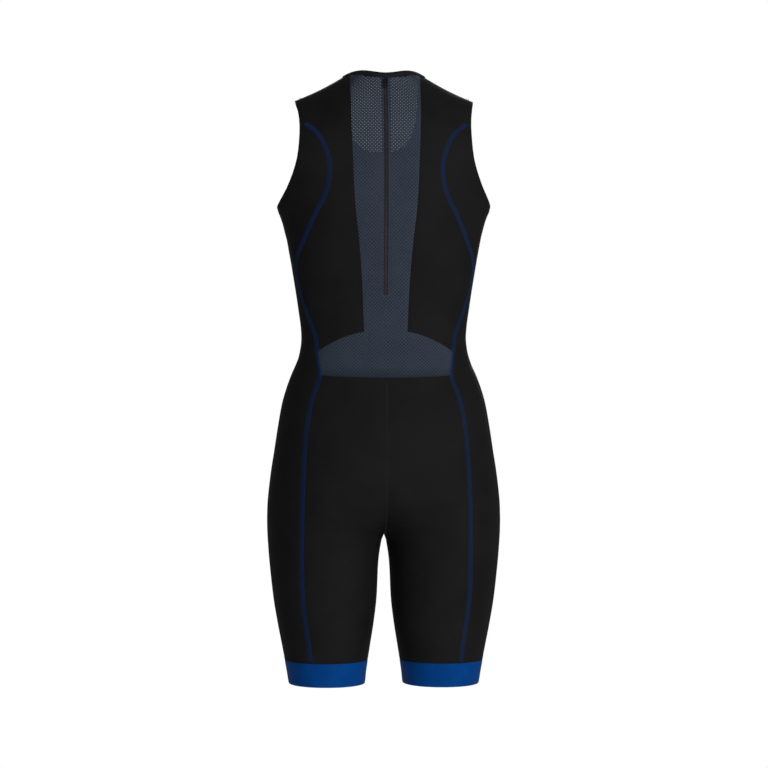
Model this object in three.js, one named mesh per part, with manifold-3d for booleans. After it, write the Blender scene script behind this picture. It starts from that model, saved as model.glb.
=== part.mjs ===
import * as THREE from 'three';
import { mergeVertices } from 'three/addons/utils/BufferGeometryUtils.js';
import Module from 'manifold-3d';

const wasm = await Module();
wasm.setup();

// A sleeveless one-piece triathlon suit, filled out with no wearer. Sizes are in millimetres.
// +X is the wearer's right, +Y the front and +Z up. The origin lies between the shoulders,
// where the wearer holds the suit. Heights in the tables are measured down from the neck edge.

const ORIGIN_DOWN = 30;
const CLOTH_THICKNESS = 1.5;
const SEAM_GAP = 0.3;
const SIDES = { right: 1, left: -1 };

// Some pieces are thicker than the cloth and stand a little proud of it.
const BAND_THICKNESS = 1.9;
const BAND_PROUD = 0.2;
const BINDING_THICKNESS = 2.4;
const BINDING_PROUD = 0.45;
const BINDING_HEIGHT = 8;
const ZIP_THICKNESS = 2;
const ZIP_PROUD = 0.5;

// The neck opening. Its back edge dips at the zip, rises in a hump on each side of it and
// meets the shoulder seams at two corners. Its front is a deep scoop.
const NECK_HALF = 54;
const NECK_BACK = 53;
const NECK_RING_POWER = 2.4;
const NECK_DOWN = 8.4;
const NECK_HUMP = 3.6;
const NECK_HUMP_POWER = 1.7;
const NECK_CORNER_DOWN = 4.5;
const NECK_FRONT_DOWN = 112;
const NECK_SCOOP_POWER = 2 / 3.4;
const SCOOP_CORNER = 0.75;

// The shoulder seam runs along a ridge from the neck to the shoulder point.
const SHOULDER_HALF = 133.5;
const SHOULDER_DOWN = 45;
const SHOULDER_SAG = 2.5;
const SHOULDER_Y = -5;
const SHOULDER_ROLL = 75;

const SEAM_TOP = 78;
const UNDERARM = 203;
const SIDE_CLOSE_UP = 340;
const MESH_TOP = 9;
const MESH_FOOT = 391;
const YOKE_SIDE = 420;
const WAIST = 455;
const WAIST_DIP = 3.5;
const ARCH_RISE = 0.35;
const BAND_TOP = 879;
const HEM = 914;

const ZIP_FOOT = 338;
const ZIP_HALF = 3;

// How many cells each stretch of cloth has, along and across.
const MESH_COLUMNS = 4;
const SHOULDER_COLUMNS = 6;
const SIDE_COLUMNS = 5;
const YOKE_ROWS = 3;
const SEAM_ROWS = 13;
const ARMHOLE_ROWS = 2;
const PLAIN_MESH_ROWS = 3;
const STRAP_ROWS = 5;
const SCOOP_COLUMNS = 3;
const BAND_COLUMNS = 30;
const BAND_ROWS = 2;
const LINE_STEPS = 400;

// How soon a grid's bend toward its first and last rows fades out. Higher is sooner.
const PANEL_FADE = 3;
const SIDE_FADE = 6;

// Points nearer than this are one point, and rows this near the top edge are on it.
const WELD = 0.01;

// The form of the body of cloth. Outer and inner are the distances from the centre plane,
// inner being the leg's own once the two legs part. Above the underarm the rings run on
// unseen past the armholes.
const LEVELS = [
  { down: 0, outer: 168, inner: -168, back: 60, front: 50, square: 2.3 },
  { down: 50, outer: 174, inner: -174, back: 76, front: 66, square: 2.3 },
  { down: 100, outer: 175, inner: -175, back: 88, front: 81, square: 2.3 },
  { down: 150, outer: 170, inner: -170, back: 93, front: 98, square: 2.3 },
  { down: 203, outer: 160, inner: -160, back: 93, front: 112, square: 2.3 },
  { down: 231, outer: 150.6, inner: -150.6, back: 91, front: 116, square: 2.3 },
  { down: 256, outer: 144.5, inner: -144.5, back: 88, front: 115, square: 2.3 },
  { down: 304, outer: 136, inner: -136, back: 79, front: 104, square: 2.3 },
  { down: 352, outer: 128.5, inner: -128.5, back: 72, front: 91, square: 2.3 },
  { down: 394, outer: 123.5, inner: -123.5, back: 71, front: 85, square: 2.3 },
  { down: 424, outer: 126.5, inner: -126.5, back: 77, front: 86, square: 2.3 },
  { down: 448, outer: 136, inner: -136, back: 84, front: 88, square: 2.3 },
  { down: 472, outer: 145, inner: -145, back: 92, front: 90, square: 2.3 },
  { down: 496, outer: 152, inner: -152, back: 100, front: 92, square: 2.3 },
  { down: 532, outer: 158.5, inner: -158.5, back: 108, front: 94, square: 2.3 },
  { down: 568, outer: 164, inner: -160, back: 112, front: 94, square: 2.25 },
  { down: 600, outer: 169, inner: -138, back: 113, front: 93, square: 2.2 },
  { down: 640, outer: 173.5, inner: -88, back: 110, front: 91, square: 2.15 },
  { down: 665, outer: 174.5, inner: -46, back: 104, front: 89, square: 2.1 },
  { down: 680, outer: 174.4, inner: -19, back: 99, front: 88.5, square: 2.1 },
  { down: 692, outer: 174, inner: 0.2, back: 95.5, front: 88, square: 2.1 },
  { down: 705, outer: 173.2, inner: 4.3, back: 92, front: 87, square: 2.1 },
  { down: 733, outer: 171, inner: 8.3, back: 89, front: 86, square: 2.1 },
  { down: 787, outer: 165, inner: 11, back: 84, front: 83, square: 2.1 },
  { down: 823, outer: 159, inner: 15.2, back: 80, front: 80, square: 2.1 },
  { down: 859, outer: 152, inner: 20.9, back: 76, front: 77, square: 2.1 },
  { down: 895, outer: 145, inner: 26.5, back: 72, front: 73, square: 2.1 },
  { down: 914, outer: 142, inner: 28.4, back: 71, front: 72, square: 2.1 },
];

// Where the long seams of the side panels cross the back and the front, out from the centre.
const SIDE_SEAMS = [
  { down: 78, back: 127.4, front: 121.5 },
  { down: 98, back: 103, front: 100 },
  { down: 119, back: 90.5, front: 90 },
  { down: 140, back: 84, front: 85 },
  { down: 168, back: 84, front: 85 },
  { down: 193, back: 91, front: 91 },
  { down: 218, back: 104, front: 101 },
  { down: 245, back: 116, front: 111 },
  { down: 267, back: 126, front: 118.5 },
  { down: 283, back: 130.6, front: 121 },
  { down: 304, back: 131, front: 120 },
  { down: 330, back: 126, front: 115 },
  { down: 352, back: 119.5, front: 110 },
  { down: 373, back: 112, front: 105 },
  { down: 393, back: 104.5, front: 100 },
  { down: 420, back: 100.5, front: 97 },
  { down: 440, back: 98, front: 96.5 },
  { down: 455, back: 96.5, front: 97 },
  { down: 470, back: 101, front: 101 },
  { down: 488, back: 108, front: 107 },
  { down: 512, back: 113, front: 112 },
  { down: 547, back: 118, front: 117 },
  { down: 594, back: 121, front: 120 },
  { down: 672, back: 123.5, front: 122 },
  { down: 759, back: 123.5, front: 122 },
  { down: 798, back: 121, front: 120 },
  { down: 849, back: 114, front: 114 },
  { down: 879, back: 110, front: 110 },
];

// The edge of the armhole, out from the centre, on the back and on the front.
const ARMHOLE = [
  { down: 45, back: 133.5, front: 133.5 },
  { down: 60, back: 130, front: 127 },
  { down: 78, back: 127.4, front: 121.5 },
  { down: 98, back: 127, front: 118 },
  { down: 132, back: 130.2, front: 120.7 },
  { down: 155, back: 136.3, front: 128.8 },
  { down: 178, back: 145.6, front: 140.6 },
  { down: 190, back: 152.3, front: 149.8 },
  { down: 203, back: 160, front: 160 },
];

// The long edge between the back's mesh and the black panel beside it.
const MESH_EDGE = [
  { down: MESH_TOP, back: 52.5 },
  { down: 93, back: 50.5 },
  { down: 202, back: 45.8 },
  { down: 250, back: 40.6 },
  { down: 289, back: 37 },
  { down: 335, back: 34.3 },
  { down: MESH_FOOT, back: 32 },
];

// Rows of cells down the shorts, closer together where the legs part.
const SHORTS_ROWS = [
  WAIST, 478, 503, 532, 562, 592, 620, 644, 662, 676,
  686, 692, 698, 708, 728, 758, 792, 824, 852, BAND_TOP,
];

const BLACK = { color: 0x1b1b1b, roughness: 0.62, metalness: 0 };
const MESH_NAVY = { color: 0x2e3742, roughness: 0.7, metalness: 0 };
const BAND_BLUE = { color: 0x03407f, roughness: 0.5, metalness: 0 };
const BINDING_DARK = { color: 0x15181d, roughness: 0.6, metalness: 0 };
const ZIP_GREY = { color: 0x2a2d34, roughness: 0.5, metalness: 0 };
const SLIDER_DARK = { color: 0x1d1f24, roughness: 0.35, metalness: 0.6 };

function mix(a, b, share) {
  return a + (b - a) * share;
}

// Reads one column of a table at a height, as a smooth curve through the rows.
function read(table, column, down) {
  const last = table.length - 1;
  let i = 0;
  while (i < last - 1 && down > table[i + 1].down) {
    i += 1;
  }
  const slope = (j) => {
    const before = table[Math.max(j - 1, 0)];
    const after = table[Math.min(j + 1, last)];
    return (after[column] - before[column]) / (after.down - before.down);
  };
  const span = table[i + 1].down - table[i].down;
  const u = THREE.MathUtils.clamp((down - table[i].down) / span, 0, 1);
  const lift = u * u * (3 - 2 * u);
  const leave = span * slope(i) * u * (1 - u) * (1 - u);
  const arrive = span * slope(i + 1) * u * u * (u - 1);
  return mix(table[i][column], table[i + 1][column], lift) + leave + arrive;
}

function section(down) {
  const outer = read(LEVELS, 'outer', down);
  const inner = Math.max(read(LEVELS, 'inner', down), -outer);
  return {
    middle: (outer + inner) / 2,
    half: (outer - inner) / 2,
    back: read(LEVELS, 'back', down),
    front: read(LEVELS, 'front', down),
    power: 2 / read(LEVELS, 'square', down),
  };
}

// How far the neck edge rises between the zip and its corner.
function neckHump(share) {
  return NECK_HUMP * Math.sin(Math.PI * share ** NECK_HUMP_POWER);
}

// The height of the neck edge or the shoulder seam at a distance from the centre.
function topEdge(x) {
  if (x < NECK_HALF) {
    const across = Math.abs(x) / NECK_HALF;
    return mix(NECK_DOWN, NECK_CORNER_DOWN, across ** 2) - neckHump(across);
  }
  const share = (x - NECK_HALF) / (SHOULDER_HALF - NECK_HALF);
  const sag = share < 1 ? SHOULDER_SAG * Math.sin(Math.PI * share) : 0;
  return mix(NECK_CORNER_DOWN, SHOULDER_DOWN, share) + sag;
}

// Near the top the cloth rolls over to the shoulder ridge, and at the back to the neck ring.
function rollOver(x, y, down, isBack) {
  const drop = Math.max(down - topEdge(x), 0);
  if (drop >= SHOULDER_ROLL) {
    return y;
  }
  const ring = isBack && x < NECK_HALF ? 1 - (Math.abs(x) / NECK_HALF) ** NECK_RING_POWER : 0;
  const start = SHOULDER_Y - NECK_BACK * ring;
  return mix(start, y, Math.sqrt(1 - (1 - drop / SHOULDER_ROLL) ** 2));
}

// A point of the cloth on the wearer's right. The angle is 0 at the outer side, a quarter
// turn at the back, half a turn at the inner side and negative at the front.
function place(angle, down) {
  const level = section(down);
  const across = Math.cos(angle);
  const along = Math.sin(angle);
  const x = level.middle + level.half * Math.sign(across) * Math.abs(across) ** level.power;
  const reach = along >= 0 ? -level.back : level.front;
  const y = rollOver(x, reach * Math.abs(along) ** level.power, down, along >= 0);
  return new THREE.Vector3(x, y, ORIGIN_DOWN - down);
}

// Which way the cloth faces there. Along the shoulder ridge both sheets face straight up.
function facing(angle, down) {
  const turn = 0.002;
  const step = 0.4;
  const around = place(angle + turn, down).sub(place(angle - turn, down));
  const along = place(angle, down + step).sub(place(angle, down - step));
  const normal = around.cross(along).normalize();
  const point = place(angle, down);
  if (point.x > NECK_HALF - WELD && down - topEdge(point.x) < WELD) {
    normal.y = 0;
  }
  return normal.normalize();
}

// The angle where the cloth is a distance out from the centre, on the back or the front.
function angleAt(x, down, sheet) {
  const level = section(down);
  const share = THREE.MathUtils.clamp((x - level.middle) / level.half, -1, 1);
  const angle = Math.acos(Math.sign(share) * Math.abs(share) ** (1 / level.power));
  return sheet === 'front' ? -angle : angle;
}

// A spot of the cloth is an angle and a height.
function spot(x, down, sheet) {
  return { angle: angleAt(x, down, sheet), down };
}

// Moves a spot sideways by a length along the cloth, from the front over the outer side
// toward the back where the length is positive.
function nudge({ angle, down }, length) {
  const turn = 0.01;
  const reach = place(angle + turn, down).distanceTo(place(angle - turn, down));
  return { angle: angle + (length * 2 * turn) / reach, down };
}

function stations(from, to, count) {
  return Array.from({ length: count + 1 }, (_, i) => mix(from, to, i / count));
}

function between(a, b, share) {
  return { angle: mix(a.angle, b.angle, share), down: mix(a.down, b.down, share) };
}

// A grid of spots between a left and a right line, bent to meet a first and a last row.
function spread(left, right, first, last, fade = PANEL_FADE) {
  const rows = left.length - 1;
  const columns = first.length - 1;
  return left.map((leftSpot, i) => {
    const rise = (i / rows) ** fade;
    const fall = (1 - i / rows) ** fade;
    return first.map((firstSpot, j) => {
      const s = j / columns;
      const plain = between(leftSpot, right[i], s);
      const start = between(first[0], first[columns], s);
      const end = between(last[0], last[columns], s);
      const bend = (key) => fall * (firstSpot[key] - start[key]) + rise * (last[j][key] - end[key]);
      return { angle: plain.angle + bend('angle'), down: plain.down + bend('down') };
    });
  });
}

function straightRow(left, right, columns) {
  return stations(0, 1, columns).map((share) => between(left, right, share));
}

// The cells of a grid, for the wearer's right (side 1) or left (side -1).
function cells(grid, side) {
  const list = [];
  for (let i = 0; i < grid.length - 1; i += 1) {
    for (let j = 0; j < grid[i].length - 1; j += 1) {
      const corners = [grid[i][j], grid[i][j + 1], grid[i + 1][j + 1], grid[i + 1][j]];
      list.push(corners.map((corner) => ({ ...corner, side })));
    }
  }
  return list;
}

// A closed wall of cloth over a list of cells. Shared corners are welded, and open edges
// get a narrow face across the thickness. Proud lifts the outer face off the body's form.
function wall(cellList, thickness, proud = 0) {
  const outer = [];
  const inner = [];
  const seen = new Map();
  const indexOf = (corner) => {
    const point = place(corner.angle, corner.down);
    const normal = facing(corner.angle, corner.down);
    point.x *= corner.side;
    normal.x *= corner.side;
    if (Math.abs(point.x) < WELD) {
      point.x = 0;
      normal.x = 0;
      normal.normalize();
    }
    const key = point.toArray().map((value) => Math.round(value / WELD)).join();
    if (!seen.has(key)) {
      seen.set(key, outer.length);
      outer.push(point.clone().addScaledVector(normal, proud));
      inner.push(point.clone().addScaledVector(normal, proud - thickness));
    }
    return seen.get(key);
  };
  const quads = cellList.map((cell) => faceOut(cell).map(indexOf));
  const open = new Map();
  quads.forEach((quad) => quad.forEach((a, k) => {
    const b = quad[(k + 1) % 4];
    if (!open.delete(`${b},${a}`)) {
      open.set(`${a},${b}`, [a, b]);
    }
  }));
  const faces = [];
  const base = outer.length;
  quads.forEach(([a, b, c, d]) => {
    faces.push([a, b, c], [a, c, d]);
    faces.push([base + a, base + c, base + b], [base + a, base + d, base + c]);
  });
  open.forEach(([a, b]) => faces.push([b, a, base + a], [b, base + a, base + b]));
  return geometryOf([...outer, ...inner], faces);
}

// Orders a cell's corners so that it faces out: angle first, then down, on the right side.
function faceOut(cell) {
  const area = cell.reduce((sum, corner, k) => {
    const next = cell[(k + 1) % 4];
    return sum + corner.angle * next.down - next.angle * corner.down;
  }, 0);
  return area * cell[0].side < 0 ? [...cell].reverse() : cell;
}

function geometryOf(points, faces) {
  const geometry = new THREE.BufferGeometry();
  const numbers = points.flatMap((point) => point.toArray());
  geometry.setAttribute('position', new THREE.Float32BufferAttribute(numbers, 3));
  geometry.setIndex(faces.flat());
  return geometry;
}

const suit = new THREE.Group();

function addPiece(name, geometry, look) {
  const mesh = new THREE.Mesh(geometry, new THREE.MeshStandardMaterial(look));
  mesh.name = name;
  suit.add(mesh);
  return mesh;
}

// The neck line, from 0 at the centre back over 0.5 at the shoulder ridge to 1 at the
// centre front, moved outward over the cloth by an offset.
function neckSpot(share, offset, sheet) {
  const half = NECK_HALF + offset;
  const ridgeDown = topEdge(half);
  if (sheet === 'back') {
    const across = Math.sin(share * Math.PI);
    const down = mix(NECK_DOWN + offset, ridgeDown, across ** 2) - neckHump(across);
    return spot(half * across, down, 'back');
  }
  const turn = (share - 0.5) * Math.PI;
  const depth = Math.sin(turn) ** NECK_SCOOP_POWER;
  const reach = Math.max(Math.cos(turn), 0) ** NECK_SCOOP_POWER;
  return spot(half * reach, mix(ridgeDown, NECK_FRONT_DOWN + offset, depth), 'front');
}

function neckShareAt(x, offset) {
  return Math.asin(x / (NECK_HALF + offset)) / Math.PI;
}

// Values between two ends, at even steps along the cloth of the line that they give.
function evenValues(from, to, count, lineSpot) {
  const fine = stations(from, to, LINE_STEPS);
  const points = fine.map((value) => {
    const { angle, down } = lineSpot(value);
    return place(angle, down);
  });
  const lengths = [0];
  for (let i = 1; i < points.length; i += 1) {
    lengths.push(lengths[i - 1] + points[i].distanceTo(points[i - 1]));
  }
  return stations(0, lengths.at(-1), count).map((length) => {
    const i = lengths.findIndex((value) => value >= length);
    return fine[i < 0 ? fine.length - 1 : i];
  });
}

const PANEL_NECK = BINDING_HEIGHT + SEAM_GAP;
const SLIT_HALF = ZIP_HALF + SEAM_GAP;
const meshTopHalf = read(MESH_EDGE, 'back', MESH_TOP);
const meshCornerShare = neckShareAt(meshTopHalf, PANEL_NECK);
const meshNeckShares = stations(neckShareAt(SLIT_HALF, PANEL_NECK), meshCornerShare, MESH_COLUMNS - 1);
const frontNeckSpot = (share) => neckSpot(share, BINDING_HEIGHT, 'front');
const strapShares = evenValues(0.5, SCOOP_CORNER, STRAP_ROWS, frontNeckSpot);
const scoopShares = evenValues(SCOOP_CORNER, 1, SCOOP_COLUMNS, frontNeckSpot);

// Heights shared by the pieces on both sides of each long seam.
const seamDowns = stations(YOKE_SIDE, SEAM_TOP, SEAM_ROWS);
const yokeDowns = stations(WAIST, YOKE_SIDE, YOKE_ROWS);
const armholeDowns = stations(SEAM_TOP, SHOULDER_DOWN, ARMHOLE_ROWS);
const meshTop = neckSpot(meshCornerShare, PANEL_NECK, 'back');
const plainMeshDowns = stations(MESH_FOOT, ZIP_FOOT, PLAIN_MESH_ROWS);
const slitRows = SEAM_ROWS + ARMHOLE_ROWS - PLAIN_MESH_ROWS;
const slitDowns = stations(ZIP_FOOT, meshTop.down, slitRows);
const meshDowns = [...plainMeshDowns, ...slitDowns.slice(1)];

function sideSeam(down, sheet) {
  return spot(read(SIDE_SEAMS, sheet, down), down, sheet);
}

function armhole(down, sheet) {
  return spot(read(ARMHOLE, sheet, down), down, sheet);
}

function meshEdge(down) {
  return down === meshTop.down ? meshTop : spot(read(MESH_EDGE, 'back', down), down, 'back');
}

// The arched top of the yoke, from the foot of the long mesh out to the side seam.
function archRow() {
  const from = MESH_EDGE.at(-1).back;
  const to = read(SIDE_SEAMS, 'back', YOKE_SIDE);
  return stations(0, 1, SHOULDER_COLUMNS + 1).map((share) => {
    const down = mix(MESH_FOOT, YOKE_SIDE, ARCH_RISE * share + (1 - ARCH_RISE) * share ** 2);
    return spot(mix(from, to, share), down, 'back');
  });
}

function shoulderRow(sheet) {
  return stations(NECK_HALF + PANEL_NECK, SHOULDER_HALF, SHOULDER_COLUMNS)
    .map((x) => spot(x, topEdge(x), sheet));
}

// Where the columns of the mesh and of the shorts below it meet at the waist.
function waistXs() {
  const inner = stations(SLIT_HALF, MESH_EDGE.at(-1).back, MESH_COLUMNS - 1);
  const outer = stations(MESH_EDGE.at(-1).back, read(SIDE_SEAMS, 'back', WAIST), SHOULDER_COLUMNS + 1);
  return [0, ...inner, ...outer.slice(1)];
}

function waistRow(shift) {
  const xs = waistXs();
  return xs.map((x) => spot(x, WAIST + WAIST_DIP * (1 - (x / xs.at(-1)) ** 2) + shift, 'back'));
}

function moved(row, length) {
  return row.map((point) => nudge(point, length));
}

function backMeshCells(side) {
  const half = SEAM_GAP / 2;
  const edge = moved(meshDowns.map(meshEdge), half);
  const foot = stations(0, 1, MESH_COLUMNS - 1)
    .map((share) => spot(mix(SLIT_HALF, MESH_EDGE.at(-1).back, share), MESH_FOOT, 'back'));
  foot[MESH_COLUMNS - 1] = edge[0];
  const top = meshNeckShares.map((share) => neckSpot(share, PANEL_NECK, 'back'));
  top[MESH_COLUMNS - 1] = edge.at(-1);
  const slit = meshDowns.map((down) => spot(SLIT_HALF, down, 'back'));
  slit[slit.length - 1] = top[0];
  const long = spread(slit, edge, foot, top);
  const middle = long.slice(0, PLAIN_MESH_ROWS + 1).map((row) => [spot(0, row[0].down, 'back'), row[0]]);

  // The yoke runs on from the foot of the long stretch out under the arch.
  const arch = archRow().map((point) => ({ angle: point.angle, down: point.down + half }));
  const lastArch = arch.length - 1;
  arch[lastArch] = nudge(arch[lastArch], half);
  const yokeTop = [spot(0, MESH_FOOT, 'back'), ...foot, ...arch.slice(1)];
  const yokeFoot = waistRow(-half);
  yokeFoot[yokeFoot.length - 1] = nudge(yokeFoot.at(-1), half);
  const centre = stations(yokeFoot[0].down, MESH_FOOT, YOKE_ROWS).map((down) => spot(0, down, 'back'));
  const outerEdge = moved(yokeDowns.map((down) => sideSeam(down, 'back')), half);
  outerEdge[0] = yokeFoot.at(-1);
  outerEdge[outerEdge.length - 1] = yokeTop.at(-1);
  return [
    ...cells(long, side),
    ...cells(middle, side),
    ...cells(spread(centre, outerEdge, yokeFoot, yokeTop), side),
  ];
}

function backPanelCells(side) {
  const half = SEAM_GAP / 2;
  const inner = moved(meshDowns.map(meshEdge), -half);
  const outer = [
    ...moved(seamDowns.map((down) => sideSeam(down, 'back')), half),
    ...armholeDowns.slice(1).map((down) => armhole(down, 'back')),
  ];
  const foot = archRow().map((point) => ({ angle: point.angle, down: point.down - half }));
  foot[0] = { angle: inner[0].angle, down: inner[0].down - half };
  inner[0] = foot[0];
  foot[foot.length - 1] = outer[0];
  const shoulder = [inner.at(-1), ...shoulderRow('back')];
  return cells(spread(inner, outer, foot, shoulder), side);
}

// Below the scoop's corners the front is one sheet, and above them it parts into two straps.
function frontPanelCells(side) {
  const half = SEAM_GAP / 2;
  const chest = SEAM_ROWS + ARMHOLE_ROWS - STRAP_ROWS;
  const neck = (shares) => shares.map((share) => neckSpot(share, PANEL_NECK, 'front'));
  const scoop = neck(scoopShares).reverse();
  const seam = moved(seamDowns.map((down) => sideSeam(down, 'front')), -half);
  const seamFoot = moved(yokeDowns.slice(0, -1).map((down) => sideSeam(down, 'front')), -half);
  const outer = [...seamFoot, ...seam.slice(0, chest + 1)];
  outer[0] = { angle: outer[0].angle, down: WAIST - half };
  const centre = stations(WAIST - half, scoop[0].down, outer.length - 1)
    .map((down) => spot(0, down, 'front'));
  const strapFoot = straightRow(scoop.at(-1), seam[chest], SHOULDER_COLUMNS);
  const foot = straightRow(centre[0], outer[0], SCOOP_COLUMNS + SHOULDER_COLUMNS);
  const body = spread(centre, outer, foot, [...scoop, ...strapFoot.slice(1)]);
  const armEdge = armholeDowns.slice(1).map((down) => armhole(down, 'front'));
  const strapEdge = [...seam.slice(chest), ...armEdge];
  const strap = spread(neck(strapShares).reverse(), strapEdge, strapFoot, shoulderRow('front'));
  return [...cells(body, side), ...cells(strap, side)];
}

// The outer side line ends at the underarm, so its stations close up below it.
function sideLineDown(seamDown) {
  const share = (seamDown - SEAM_TOP) / (SIDE_CLOSE_UP - SEAM_TOP);
  return share > 1 ? seamDown : mix(UNDERARM, SIDE_CLOSE_UP, share);
}

// A side panel is one long cut from the armhole to the hem band, round the outer side.
function sidePanelCells(side) {
  const half = SEAM_GAP / 2;
  return ['back', 'front'].flatMap((sheet) => {
    const away = sheet === 'back' ? -half : half;
    const legDowns = [...SHORTS_ROWS];
    legDowns[legDowns.length - 1] -= half;
    const legSeam = moved(legDowns.map((down) => sideSeam(down, sheet)), away);
    const legSide = legDowns.map((down) => ({ angle: 0, down }));
    const leg = legSeam.map((point, i) => straightRow(point, legSide[i], SIDE_COLUMNS));
    const bodyDowns = [...yokeDowns, ...seamDowns.slice(1)];
    const bodySeam = moved(bodyDowns.map((down) => sideSeam(down, sheet)), away);
    const bodySide = bodyDowns.map((down) => ({ angle: 0, down: sideLineDown(down) }));
    const edge = evenValues(SEAM_TOP, UNDERARM, SIDE_COLUMNS, (down) => armhole(down, sheet))
      .map((down) => armhole(down, sheet));
    edge[0] = bodySeam.at(-1);
    edge[SIDE_COLUMNS] = bodySide.at(-1);
    const foot = straightRow(bodySeam[0], bodySide[0], SIDE_COLUMNS);
    return [...cells(leg, side), ...cells(spread(bodySeam, bodySide, foot, edge, SIDE_FADE), side)];
  });
}

// Half of the back or front of the shorts, from the centre seam and inseam out to the side seam.
function shortsCells(sheet, side) {
  const half = SEAM_GAP / 2;
  const sign = sheet === 'back' ? 1 : -1;
  const downs = [...SHORTS_ROWS];
  downs[0] += half;
  downs[downs.length - 1] -= half;
  const inseamAngle = (down) => nudge({ angle: Math.PI, down }, -half).angle;
  const inner = downs.map((down) => ({
    angle: sign * Math.min(angleAt(half, down, 'back'), inseamAngle(down)),
    down,
  }));
  const outer = moved(downs.map((down) => sideSeam(down, sheet)), sign * half);
  let waist = straightRow(inner[0], outer[0], SHOULDER_COLUMNS);
  if (sheet === 'back') {
    waist = waistRow(half);
    waist[0] = { angle: inner[0].angle, down: waist[0].down };
    inner[0] = waist[0];
    waist[waist.length - 1] = outer[0];
  }
  const hem = straightRow(inner.at(-1), outer.at(-1), waist.length - 1);
  return cells(spread(inner, outer, waist, hem), side);
}

function hemBandCells(side) {
  const rows = stations(BAND_TOP + SEAM_GAP / 2, HEM, BAND_ROWS);
  const turns = stations(0, Math.PI * 2, BAND_COLUMNS);
  const grid = rows.map((down) => turns.map((angle) => ({ angle, down })));
  return cells(grid, side);
}

// The binding follows the whole neck edge and is parted at the centre back by the zip.
function bindingCells(side) {
  const centreShare = neckShareAt(SEAM_GAP / 2, 0);
  const backShares = [centreShare, ...meshNeckShares, 0.5];
  const frontShares = [...strapShares, ...scoopShares.slice(1)];
  const strip = (shares, sheet) => [0, BINDING_HEIGHT]
    .map((offset) => shares.map((share) => neckSpot(share, offset, sheet)));
  return [...cells(strip(backShares, 'back'), side), ...cells(strip(frontShares, 'front'), side)];
}

function zipCells(side) {
  const downs = [...slitDowns];
  downs[0] -= SEAM_GAP;
  downs[downs.length - 1] = NECK_DOWN + PANEL_NECK;
  const grid = downs.map((down) => [spot(0, down, 'back'), spot(ZIP_HALF, down, 'back')]);
  return cells(grid, side);
}

// The slider and its pull tab stand on the zip just under the neck binding, square to the cloth.
const SLIDER = { width: 7, length: 8.6, thickness: 2.4, down: 22, corner: 1.6 };
const BRIDGE = { width: 1.6, opening: 2.2, leg: 0.9, height: 2, beam: 0.8, sink: 0.6 };
const TAB = { width: 5.4, length: 13, thickness: 1, bar: 1, eyeLength: 2.4, eyeWidth: 3.2, corner: 1.2 };

function roundedPlate(width, length, corner, thickness) {
  const shape = new THREE.Shape();
  const w = width / 2;
  const l = length / 2;
  shape.moveTo(-w + corner, -l);
  shape.lineTo(w - corner, -l);
  shape.absarc(w - corner, -l + corner, corner, -Math.PI / 2, 0);
  shape.absarc(w - corner, l - corner, corner, 0, Math.PI / 2);
  shape.absarc(-w + corner, l - corner, corner, Math.PI / 2, Math.PI);
  shape.absarc(-w + corner, -l + corner, corner, Math.PI, Math.PI * 1.5);
  return { shape, depth: thickness };
}

function extrude({ shape, depth }) {
  return new THREE.ExtrudeGeometry(shape, { depth, bevelEnabled: false, curveSegments: 4 });
}

function solidOf(geometry) {
  const bare = geometry.clone();
  bare.deleteAttribute('normal');
  bare.deleteAttribute('uv');
  const merged = mergeVertices(bare, 1e-4);
  const vertProperties = merged.getAttribute('position').array;
  const triVerts = new Uint32Array(merged.getIndex().array);
  return new wasm.Manifold(new wasm.Mesh({ numProp: 3, vertProperties, triVerts }));
}

function geometryFrom(solid) {
  const mesh = solid.getMesh();
  const geometry = new THREE.BufferGeometry();
  geometry.setAttribute('position', new THREE.BufferAttribute(mesh.vertProperties, 3));
  geometry.setIndex(new THREE.BufferAttribute(mesh.triVerts, 1));
  return geometry;
}

// Local axes: X across the zip, Y up along it and Z off the cloth. The hinge is the local X axis.
function sliderGeometry() {
  const base = extrude(roundedPlate(SLIDER.width, SLIDER.length, SLIDER.corner, SLIDER.thickness));
  base.translate(0, 0, -BRIDGE.height / 2 - SLIDER.thickness);
  const span = BRIDGE.opening + 2 * BRIDGE.leg;
  const rise = BRIDGE.height + BRIDGE.beam + BRIDGE.sink;
  const block = new THREE.BoxGeometry(BRIDGE.width, span, rise);
  block.translate(0, 0, -BRIDGE.height / 2 - BRIDGE.sink + rise / 2);
  const hole = new THREE.BoxGeometry(BRIDGE.width * 2, BRIDGE.opening, BRIDGE.height);
  const body = solidOf(base).add(solidOf(block).subtract(solidOf(hole)));
  return geometryFrom(body);
}

function tabGeometry() {
  const plate = extrude(roundedPlate(TAB.width, TAB.length, TAB.corner, TAB.thickness));
  plate.translate(0, TAB.bar / 2 - TAB.length / 2, -TAB.thickness / 2);
  const eye = new THREE.BoxGeometry(TAB.eyeWidth, TAB.eyeLength, TAB.thickness * 2);
  eye.translate(0, -TAB.bar / 2 - TAB.eyeLength / 2, 0);
  return geometryFrom(solidOf(plate).subtract(solidOf(eye)));
}

function addZipSlider() {
  const at = spot(0, SLIDER.down, 'back');
  const normal = facing(at.angle, at.down);
  const across = new THREE.Vector3(1, 0, 0);
  const up = normal.clone().cross(across).normalize();
  const holder = new THREE.Group();
  holder.setRotationFromMatrix(new THREE.Matrix4().makeBasis(across, up, normal));
  const lift = ZIP_PROUD + SEAM_GAP + SLIDER.thickness + BRIDGE.height / 2;
  holder.position.copy(place(at.angle, at.down)).addScaledVector(normal, lift);
  suit.add(holder);
  holder.add(addPiece('zip_slider', sliderGeometry(), SLIDER_DARK));
  holder.add(addPiece('zip_pull', tabGeometry(), SLIDER_DARK));
}

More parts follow.
